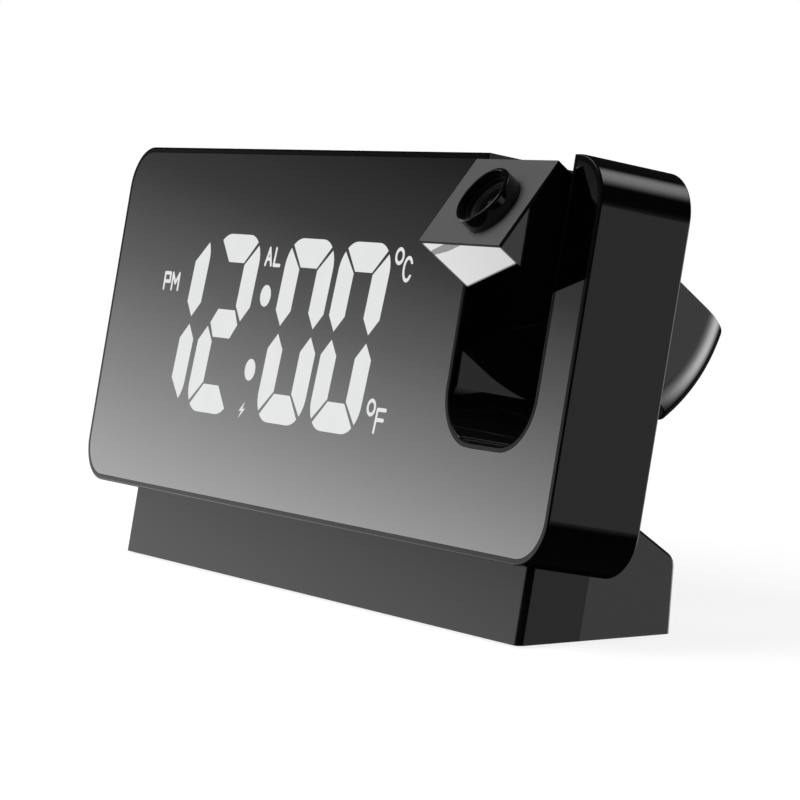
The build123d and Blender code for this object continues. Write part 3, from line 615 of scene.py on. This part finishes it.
def mirrored_floor(tree, sight, parts):
    """Glow of the floor in reflections: by heading, and none where the line of sight dips steeply."""
    dip = product(tree, parts["Z"], -1.0)
    heading = calculate(tree, "ARCTAN2", parts["Y"], parts["X"])
    turned = add_node(tree, "ShaderNodeMapRange", {"Value": heading, "From Min": -pi, "From Max": pi})
    stops = [((angle + half_turn) / full_turn, glow) for angle, glow in floor_stops]
    elsewhere = soft_step(tree, heading_towards(tree, sight, floor_right), floor_right_edge)
    shallow = larger(tree, soft_step(tree, dip, floor_right_dip), elsewhere)
    reach = product(tree, shallow, soft_step(tree, dip, floor_dip))
    return product(tree, ramp_of(tree, turned.outputs["Result"], stops), reach)


def make_world():
    """White to the camera and through glass; in reflections a dark room with two walls and a lit floor."""
    world = bpy.data.worlds.new("studio")
    bpy.context.scene.world = world
    world.use_nodes = True
    tree = world.node_tree
    tree.nodes.clear()
    sight = add_node(tree, "ShaderNodeTexCoord").outputs["Generated"]
    parts = add_node(tree, "ShaderNodeSeparateXYZ", {0: sight}).outputs
    path = add_node(tree, "ShaderNodeLightPath").outputs
    floor_glow = product(tree, mirrored_floor(tree, sight, parts), path["Is Glossy Ray"])
    below = calculate(tree, "LESS_THAN", parts["Z"], 0.0)
    room = mixed_value(tree, below, mirrored_walls(tree, sight, parts["Z"]), floor_glow)
    glow = calculate(tree, "ADD", room, dark_wall_glow)
    studio = add_node(tree, "ShaderNodeBackground", {"Color": colour(white), "Strength": glow})
    plain = add_node(tree, "ShaderNodeBackground", {"Color": colour(white)})
    seen = larger(tree, path["Is Camera Ray"], path["Is Transmission Ray"])
    whole = add_node(tree, "ShaderNodeMixShader", {0: seen, 1: studio.outputs[0], 2: plain.outputs[0]})
    add_node(tree, "ShaderNodeOutputWorld", {"Surface": whole.outputs[0]})


def make_floor():
    """Pale floor that keeps a faint shadow near the clock and is white further out."""
    bpy.ops.mesh.primitive_plane_add(size=floor_size)
    floor = bpy.context.object
    floor.name = "floor"
    material, tree = start_stage("floor")
    path = add_node(tree, "ShaderNodeLightPath").outputs
    seen = larger(tree, path["Is Camera Ray"], path["Is Transmission Ray"])
    diffuse = add_node(tree, "ShaderNodeBsdfDiffuse", {"Color": colour(floor_tone)})
    lift = add_node(tree, "ShaderNodeEmission", {"Strength": product(tree, seen, floor_lift)})
    near = add_node(tree, "ShaderNodeAddShader", {0: diffuse.outputs[0], 1: lift.outputs[0]})
    plain = add_node(tree, "ShaderNodeEmission")
    distance = vector_step(tree, "LENGTH", object_place(tree)).outputs["Value"]
    far = product(tree, seen, soft_step(tree, distance, floor_fade))
    whole = add_node(tree, "ShaderNodeMixShader", {0: far, 1: near.outputs[0], 2: plain.outputs[0]})
    add_node(tree, "ShaderNodeOutputMaterial", {"Surface": whole.outputs[0]})
    floor.data.materials.append(material)
    floor.visible_glossy = False


def make_card(name, span, height, strength):
    """Glowing studio card with soft edges, between two directions; it shows only in reflections."""
    first, last = (card_distance * Vector(direction).normalized() for direction in span)
    along = (last - first).normalized()
    inward = -(first + last).normalized()
    bpy.ops.mesh.primitive_plane_add(size=2.0 * card_half)
    card = bpy.context.object
    card.name = name
    card.scale = ((last - first).length, height, 1.0)
    card.rotation_euler = Matrix((along, inward.cross(along), inward)).transposed().to_euler()
    card.location = camera_aim + (first + last) / 2.0
    material, tree = start_stage(name)
    offset = vector_step(tree, "ABSOLUTE", object_place(tree)).outputs[0]
    parts = add_node(tree, "ShaderNodeSeparateXYZ", {0: offset}).outputs
    edge = (card_half, card_half - card_soft_edge)
    masks = [soft_step(tree, parts[axis], edge) for axis in ("X", "Y")]
    glow = product(tree, product(tree, *masks), strength)
    light = add_node(tree, "ShaderNodeEmission", {"Strength": glow})
    add_node(tree, "ShaderNodeOutputMaterial", {"Surface": light.outputs[0]})
    card.data.materials.append(material)
    card.visible_camera = False
    card.visible_transmission = False
    card.visible_shadow = False


def make_lamp(name, direction, strength):
    """Wide soft light from one direction; it shows in no reflection."""
    bpy.ops.object.light_add(type="SUN")
    lamp = bpy.context.object
    lamp.name = name
    lamp.data.energy = strength
    lamp.data.angle = radians(lamp_spread)
    lamp.rotation_euler = Vector(direction).to_track_quat("Z", "Y").to_euler()
    lamp.visible_glossy = False
    return lamp


def make_camera():
    """Camera at the photograph's angle."""
    turn = Matrix.Rotation(radians(camera_azimuth), 3, "Z")
    lift = Matrix.Rotation(radians(right_angle - camera_elevation), 3, "X")
    roll = Matrix.Rotation(radians(camera_roll), 3, "Z")
    pose = turn @ lift @ roll
    bpy.ops.object.camera_add()
    camera = bpy.context.object
    camera.data.lens = camera_lens
    camera.data.sensor_width = sensor_width
    camera.rotation_euler = pose.to_euler()
    camera.location = camera_aim + pose @ Vector((0.0, 0.0, camera_distance))
    bpy.context.scene.camera = camera


bpy.ops.object.select_all(action="DESELECT")
paint_nodes()
add_button_marks()
make_world()
make_floor()
make_card("high_card", high_card_span, high_card_height, high_card_glow)
make_card("low_card", low_card_span, low_card_height, low_card_glow)
make_card("left_card", left_card_span, left_card_height, left_card_glow)
make_lamp("key_light", key_direction, key_strength)
make_lamp("fill_light", fill_direction, fill_strength).data.use_shadow = False
make_camera()
bpy.context.scene.view_settings.view_transform = "Standard"
